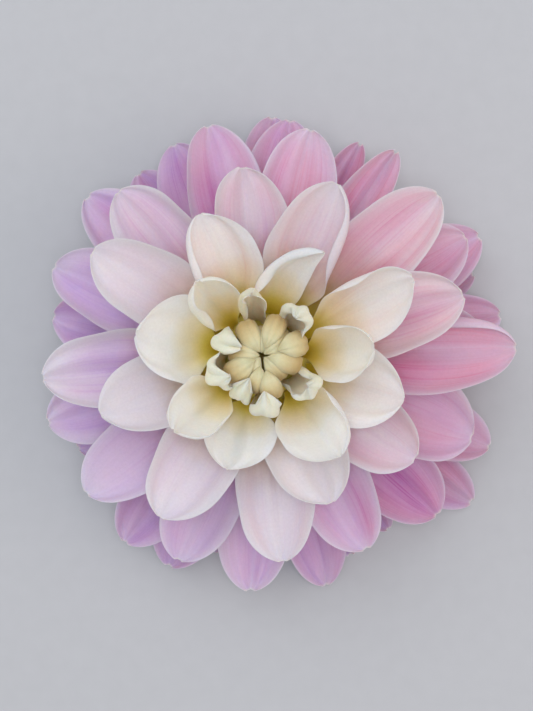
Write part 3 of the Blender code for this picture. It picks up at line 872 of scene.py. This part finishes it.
STEM_RADIUS = 3.5            # mm
RIBS = 8                     # low ribs along the stem, as many as there are inner bracts
RIB_HEIGHT = 0.12            # mm
RIBS_START, RIBS_FULL = 15.0, 11.0           # mm, heights between which the ribs rise
dome_profile = [(DOME_RADIUS * math.sin(a), DOME_CENTRE_Z + DOME_HEIGHT * math.cos(a))
                for a in np.radians(np.linspace(0.0, DOME_RIM_ANGLE, 14))]
stem_profile = [(9.6, 16.2), (7.4, 14.2), (5.4, 12.2), (4.2, 9.8), (3.6, 7.0),
                (STEM_RADIUS, STEM_CUT + 0.25), (STEM_RADIUS - 0.25, STEM_CUT), (2.0, STEM_CUT),
                (0.0, STEM_CUT)]
receptacle, points = add_turned("receptacle_and_stem", dome_profile + stem_profile)
turn = np.arctan2(points[:, 1], points[:, 0])
ribs = np.cos(RIBS * turn) * RIB_HEIGHT * ease(RIBS_START, RIBS_FULL, points[:, 2])
wide = np.hypot(points[:, 0], points[:, 1])
ribs *= ease(1.5, 3.0, wide)                 # none in the middle of the cut
points[:, :2] *= (1.0 + ribs / np.maximum(wide, 1.0))[:, None]
move_points(receptacle, points, lowest=0.0)
apply_modifier(receptacle, "SUBSURF", levels=1, render_levels=1)
receptacle.data.shade_smooth()
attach(receptacle, "root")
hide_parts("stem_and_receptacle")
print("receptacle and stem:", len(receptacle.data.vertices), "points")

# %% Lay out the two whorls of bracts
# Name, how many, the first one's azimuth, slot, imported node, thickness in mm, and habits
BRACT_NUMBER = 60            # a bract folds like a petal of this number
BRACT_SEED = 70
WHORLS = (
    ("inner_bract", 8, 10.0, "bract_pale", "inner_bracts", 0.3,
     dict(seat=(8.4, 16.6), belly=(12.0, 16.2), crown=(16.0, 14.6), tip=(20.2, 11.9),
          width=0.5, cup=0.6, claw_cup=10, claw=0.75, widest=0.4, point=0.8, notch=0,
          wave=0.5, folds=0.4)),
    ("outer_bract", 5, 30.0, "bract_green", "outer_bracts", 0.8,
     dict(seat=(7.6, 14.6), belly=(12.0, 13.8), crown=(16.0, 8.0), tip=(22.6, 4.4),
          width=0.48, cup=0.7, claw_cup=14, claw=0.55, widest=0.62, point=0.55, notch=0,
          wave=0.8, folds=0.6)),
)
bracts = {}
for kind, count, first_turn, slot_name, node_name, thickness, habit in WHORLS:
    for number in range(count):
        chance = np.random.default_rng(BRACT_SEED + number)
        azimuth = first_turn + 360.0 * number / count + chance.uniform(-4, 4)
        bract, u, along = add_strip(f"{kind}_{number + 1}", 10, 18)
        own = dict(habit, twist=chance.uniform(-14, 14), sweep=chance.uniform(-6, 6))
        points = folded_blade(BRACT_NUMBER + number, azimuth, None, own, u, along)
        move_points(bract, points)
        finish_sheet(bract, thickness, np.maximum(np.abs(u), along))
        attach(bract, "root")
        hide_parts(node_name)
        bracts.setdefault(slot_name, []).append(bract)
print("bracts:", {name: len(group) for name, group in bracts.items()})

# %% [markdown]
# ### Green leaf and membrane
#
# The stem and the outer bracts are fleshy leaf: a mid green with a fine mottle, and a waxy
# bloom that makes its shine broad. The inner bracts are a dry membrane, straw coloured
# and thin enough for light to come through. Between the claws the dome is a dull yellow green.

# %% Green materials
RING_SPAN = 6.0              # mm from the axis to the far end of the rings' ramp
RING_PLACES = (0.62, 0.7, 0.76)


def leaf_skin(name, low_tone, high_tone, low, high, roughness, scatter, cut=None):
    """A leafy skin that goes from one tone to another between two heights in mm.

    The tones of a cut end go from its pith outwards.
    """
    material, tree = new_material(name)
    solid = add_node(tree, "TexCoord").outputs["Object"]
    height = add_node(tree, "SeparateXYZ", {"Vector": solid}).outputs["Z"]
    grain = add_node(tree, "TexNoise", {"Vector": solid, "Scale": 1.0 / (2.5 * MM),
                                        "Detail": 4.0}).outputs[0]
    upper = add_node(tree, "MapRange", {"Value": height, "From Min": FOOT_Z + low * MM,
                                        "From Max": FOOT_Z + high * MM}).outputs[0]
    tone = add_node(tree, "Mix", {FACTOR: upper, COLOUR_A: linear(low_tone),
                                  COLOUR_B: linear(high_tone)}, data_type="RGBA").outputs[MIXED]
    if cut:
        # the cut end: pale pith inside a ring of sap vessels
        wide = add_node(tree, "VectorMath", {0: solid, 1: (AXIS_X, AXIS_Y, FOOT_Z)},
                        operation="DISTANCE").outputs["Value"]
        wide = add_node(tree, "Math", {0: wide, 1: 1.0 / (RING_SPAN * MM)},
                        operation="MULTIPLY").outputs[0]
        rings = add_node(tree, "ValToRGB", {"Fac": wide},
                         stops=tuple(zip(RING_PLACES, cut))).outputs[0]
        at_cut = add_node(tree, "Math", {0: height, 1: FOOT_Z + (STEM_CUT + 0.12) * MM},
                          operation="LESS_THAN").outputs[0]
        tone = add_node(tree, "Mix", {FACTOR: at_cut, COLOUR_A: tone,
                                      COLOUR_B: rings}, data_type="RGBA").outputs[MIXED]
    shade = add_node(tree, "MapRange", {"Value": grain, "From Min": 0.3, "From Max": 0.7,
                                        "To Min": 0.82, "To Max": 1.1}).outputs[0]
    mottled = add_node(tree, "VectorMath", {0: tone, "Scale": shade}, operation="SCALE")
    relief = add_node(tree, "Bump", {"Height": grain, "Strength": 0.3,
                                     "Distance": 0.2 * MM}).outputs[0]
    surface = add_node(tree, "BsdfPrincipled", {
        "Base Color": mottled.outputs[0], "Roughness": roughness, "Subsurface Weight": scatter,
        "Subsurface Radius": (0.7, 1.0, 0.4), "Subsurface Scale": 0.8 * MM, "Normal": relief})
    add_node(tree, "OutputMaterial", {"Surface": surface.outputs[0]})
    return material


GREENS = {
    "stem_green": leaf_skin("stem_and_dome", "#7E9A48", "#D2C258", 11.0, 18.0, 0.5, 0.2,
                            cut=("#E4E6C0", "#B9C486", "#8FA65A")),
    "bract_green": leaf_skin("green_bract", "#5E8038", "#8DA65A", 3.0, 15.0, 0.45, 0.25),
    "bract_pale": leaf_skin("dry_bract", "#C9BF8C", "#A9B074", 10.0, 17.0, 0.6, 0.4),
}
dress([receptacle], GREENS["stem_green"])
for slot_name, group in bracts.items():
    dress(group, GREENS[slot_name])
print("green materials:", [skin.name for skin in GREENS.values()])

# %% [markdown]
# ## Table, light and camera
#
# The bloom lies on a plain pale table. A broad soft light from the upper left models the
# cups, a weaker warm one from the right keeps the shadows open, a skylight overhead reaches
# down between the petals, and a pale sky fills the rest. The camera looks straight down the
# bloom's axis.

# %% Lay the table
TABLE_SIDE = 4.0             # metres, far past the edges of the view from above


def speckled(tree, tone, other_tone, scale):
    """Two close tones mixed by a fine noise, so that a plain surface is not quite flat."""
    grain = add_node(tree, "TexNoise", {"Scale": scale, "Detail": 2.0}).outputs[0]
    return add_node(tree, "Mix", {FACTOR: grain, COLOUR_A: linear(tone),
                                  COLOUR_B: linear(other_tone)}, data_type="RGBA").outputs[MIXED]


deselect_all()
bpy.ops.mesh.primitive_plane_add(size=TABLE_SIDE, location=(0.0, 0.0, 0.0))
table = bpy.context.object
table.name = "table"
matte, tree = new_material("matte_paper")
paper = add_node(tree, "BsdfPrincipled", {
    "Base Color": speckled(tree, "#C2C4C6", "#C7C9CB", 900.0), "Roughness": 0.9,
    "Specular IOR Level": 0.2})
add_node(tree, "OutputMaterial", {"Surface": paper.outputs[0]})
table.data.materials.append(matte)

# %% Set the sky and the lights
SKY_STRENGTH = 0.52
scene = bpy.context.scene
scene.view_settings.view_transform = "Standard"
world = bpy.data.worlds.new("pale_sky")
scene.world = world
world.use_nodes = True
sky = world.node_tree.nodes["Background"]
sky.inputs["Color"].default_value = linear("#EEF1F6")
sky.inputs["Strength"].default_value = SKY_STRENGTH

# name, place in metres, size in metres, power in watts and colour; each looks at the bloom
SOFTBOXES = (
    ("window", (-0.35, 0.45, 0.75), 0.7, 2.3, "#F6F7FF"),
    ("bounce", (0.6, -0.1, 0.45), 0.6, 1.2, "#FFE9E2"),
    ("skylight", (0.0, 0.0, 1.0), 0.4, 2.7, "#FAFAFF"),
)
for name, place, size, power, colour in SOFTBOXES:
    light = bpy.data.lights.new(name, "AREA")
    light.size = size
    light.energy = power
    light.color = linear(colour)[:3]
    lamp = bpy.data.objects.new(name, light)
    scene.collection.objects.link(lamp)
    lamp.location = place
    lamp.rotation_euler = (-lamp.location).to_track_quat("-Z", "Y").to_euler()
    print("light", name, power, "W")

# %% Place the camera
CAMERA_HEIGHT = 0.378        # metres over the table
FOCAL_LENGTH = 74.8          # mm on a 36 mm film
FRAME_SHIFT = 0.0063         # share of the frame, because the bloom isn't quite in its middle
camera = bpy.data.objects.new("camera", bpy.data.cameras.new("camera"))
scene.collection.objects.link(camera)
camera.location = (AXIS_X, AXIS_Y, CAMERA_HEIGHT)
camera.data.lens = FOCAL_LENGTH
camera.data.shift_x = FRAME_SHIFT
camera.data.clip_start = 0.01
scene.camera = camera
print("camera at", [round(x, 4) for x in camera.location])
